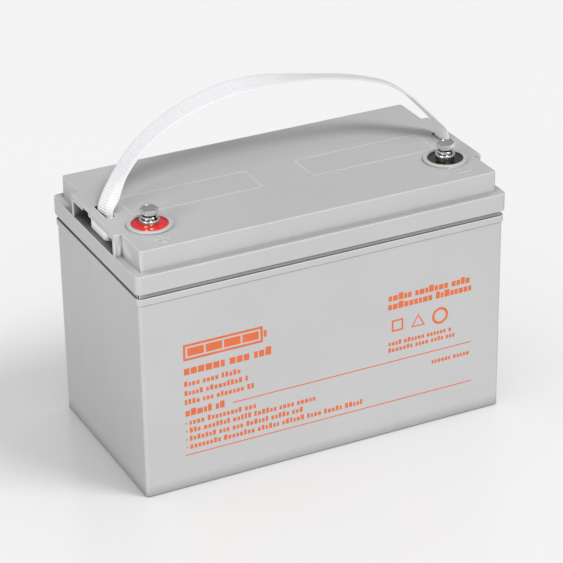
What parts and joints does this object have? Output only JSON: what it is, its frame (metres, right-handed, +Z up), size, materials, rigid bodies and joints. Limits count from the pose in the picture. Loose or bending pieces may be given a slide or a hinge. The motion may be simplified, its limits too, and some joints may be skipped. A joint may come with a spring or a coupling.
{
  "type": "deep cycle battery",
  "caption": "Sealed rectangular battery block with a stepped bonded lid, two bolted terminals in raised rings, flush vent covers and a webbing carrying strap.",
  "frame": {"origin": "middle of the base, on the surface that it stands on", "axes": "+Z up; +X along the row of cells, from the positive end to the negative end; the terminals are on the -Y side"},
  "size_m": [0.33, 0.173, 0.3012],
  "materials": {
    "case_plastic": "fine moulded texture, satin",
    "cover_plastic": "fine moulded texture, satin",
    "sealant": "dull cured epoxy",
    "lead": "cast lead, dull",
    "brass_insert": "turned",
    "rubber": "matt",
    "red_resin": "cured resin, glossy",
    "black_resin": "cured resin, glossy",
    "plated_steel": "bright zinc plate",
    "webbing": "cross-ribbed woven webbing",
    "stopper_plastic": "satin",
    "positive_paste": "pasted lead dioxide plate",
    "negative_paste": "pasted sponge lead plate",
    "glass_mat": "glass fibre mat",
    "label_ink": "screen-printed ink"
  },
  "bodies": {
    "battery": {"container": "case_plastic", "lid": "case_plastic", "lid_sealing_bead": "sealant", "left_vent_cover": "cover_plastic", "right_vent_cover": "cover_plastic", "positive_post": "lead", "positive_insert": "brass_insert", "positive_o_ring": "rubber", "positive_resin_seal": "red_resin", "negative_post": "lead", "negative_insert": "brass_insert", "negative_o_ring": "rubber", "negative_resin_seal": "black_resin", "positive_plates_1": "positive_paste", "positive_plates_2": "positive_paste", "positive_plates_3": "positive_paste", "positive_plates_4": "positive_paste", "positive_plates_5": "positive_paste", "positive_plates_6": "positive_paste", "negative_plates_1": "negative_paste", "negative_plates_2": "negative_paste", "negative_plates_3": "negative_paste", "negative_plates_4": "negative_paste", "negative_plates_5": "negative_paste", "negative_plates_6": "negative_paste", "separators_1": "glass_mat", "separators_2": "glass_mat", "separators_3": "glass_mat", "separators_4": "glass_mat", "separators_5": "glass_mat", "separators_6": "glass_mat", "positive_bar_1": "lead", "positive_bar_2": "lead", "positive_bar_3": "lead", "positive_bar_4": "lead", "positive_bar_5": "lead", "positive_bar_6": "lead", "negative_bar_1": "lead", "negative_bar_2": "lead", "negative_bar_3": "lead", "negative_bar_4": "lead", "negative_bar_5": "lead", "negative_bar_6": "lead"},
    "strap_ends": {"strap_leg_left": "webbing", "strap_leg_right": "webbing", "strap_stopper_left": "stopper_plastic", "strap_stopper_right": "stopper_plastic"},
    "strap_top": {"strap_arch": "webbing"},
    "positive_washers": {"positive_flat_washer": "plated_steel", "positive_spring_washer": "plated_steel"},
    "positive_screw": {"positive_bolt": "plated_steel"},
    "negative_washers": {"negative_flat_washer": "plated_steel", "negative_spring_washer": "plated_steel"},
    "negative_screw": {"negative_bolt": "plated_steel"},
    "valve_1": {"valve_cap_1": "rubber"},
    "valve_2": {"valve_cap_2": "rubber"},
    "valve_3": {"valve_cap_3": "rubber"},
    "valve_4": {"valve_cap_4": "rubber"},
    "valve_5": {"valve_cap_5": "rubber"},
    "valve_6": {"valve_cap_6": "rubber"}
  },
  "joints": [
    {"name": "strap_lift", "type": "slide", "parent": "battery", "child": "strap_ends", "axis": [0, 0, 1], "range_m": [0, 0.0055]},
    {"name": "strap_swing", "type": "hinge", "parent": "strap_ends", "child": "strap_top", "pos_m": [0, 0, 0.2167], "axis": [1, 0, 0], "range_deg": [-40, 40], "deforming": ["strap_leg_left", "strap_leg_right"]},
    {"name": "positive_bolt_turn", "type": "hinge", "parent": "battery", "child": "positive_washers", "pos_m": [-0.1326, -0.0407, 0.2274], "axis": [0, 0, 1], "range_deg": [0, 3240]},
    {"name": "positive_bolt_rise", "type": "slide", "parent": "positive_washers", "child": "positive_screw", "axis": [0, 0, 1], "range_m": [0, 0.01125]},
    {"name": "negative_bolt_turn", "type": "hinge", "parent": "battery", "child": "negative_washers", "pos_m": [0.1326, -0.0407, 0.2274], "axis": [0, 0, 1], "range_deg": [0, 3240]},
    {"name": "negative_bolt_rise", "type": "slide", "parent": "negative_washers", "child": "negative_screw", "axis": [0, 0, 1], "range_m": [0, 0.01125]},
    {"name": "valve_1_relief", "type": "slide", "parent": "battery", "child": "valve_1", "axis": [0, 0, 1], "range_m": [0, 0.0008], "stiffness_N_per_m": 800},
    {"name": "valve_2_relief", "type": "slide", "parent": "battery", "child": "valve_2", "axis": [0, 0, 1], "range_m": [0, 0.0008], "stiffness_N_per_m": 800},
    {"name": "valve_3_relief", "type": "slide", "parent": "battery", "child": "valve_3", "axis": [0, 0, 1], "range_m": [0, 0.0008], "stiffness_N_per_m": 800},
    {"name": "valve_4_relief", "type": "slide", "parent": "battery", "child": "valve_4", "axis": [0, 0, 1], "range_m": [0, 0.0008], "stiffness_N_per_m": 800},
    {"name": "valve_5_relief", "type": "slide", "parent": "battery", "child": "valve_5", "axis": [0, 0, 1], "range_m": [0, 0.0008], "stiffness_N_per_m": 800},
    {"name": "valve_6_relief", "type": "slide", "parent": "battery", "child": "valve_6", "axis": [0, 0, 1], "range_m": [0, 0.0008], "stiffness_N_per_m": 800}
  ],
  "couplings": [
    {"joint": "positive_bolt_turn", "follows": "positive_bolt_rise", "rad_per_m": 5026.5},
    {"joint": "negative_bolt_turn", "follows": "negative_bolt_rise", "rad_per_m": 5026.5}
  ]
}
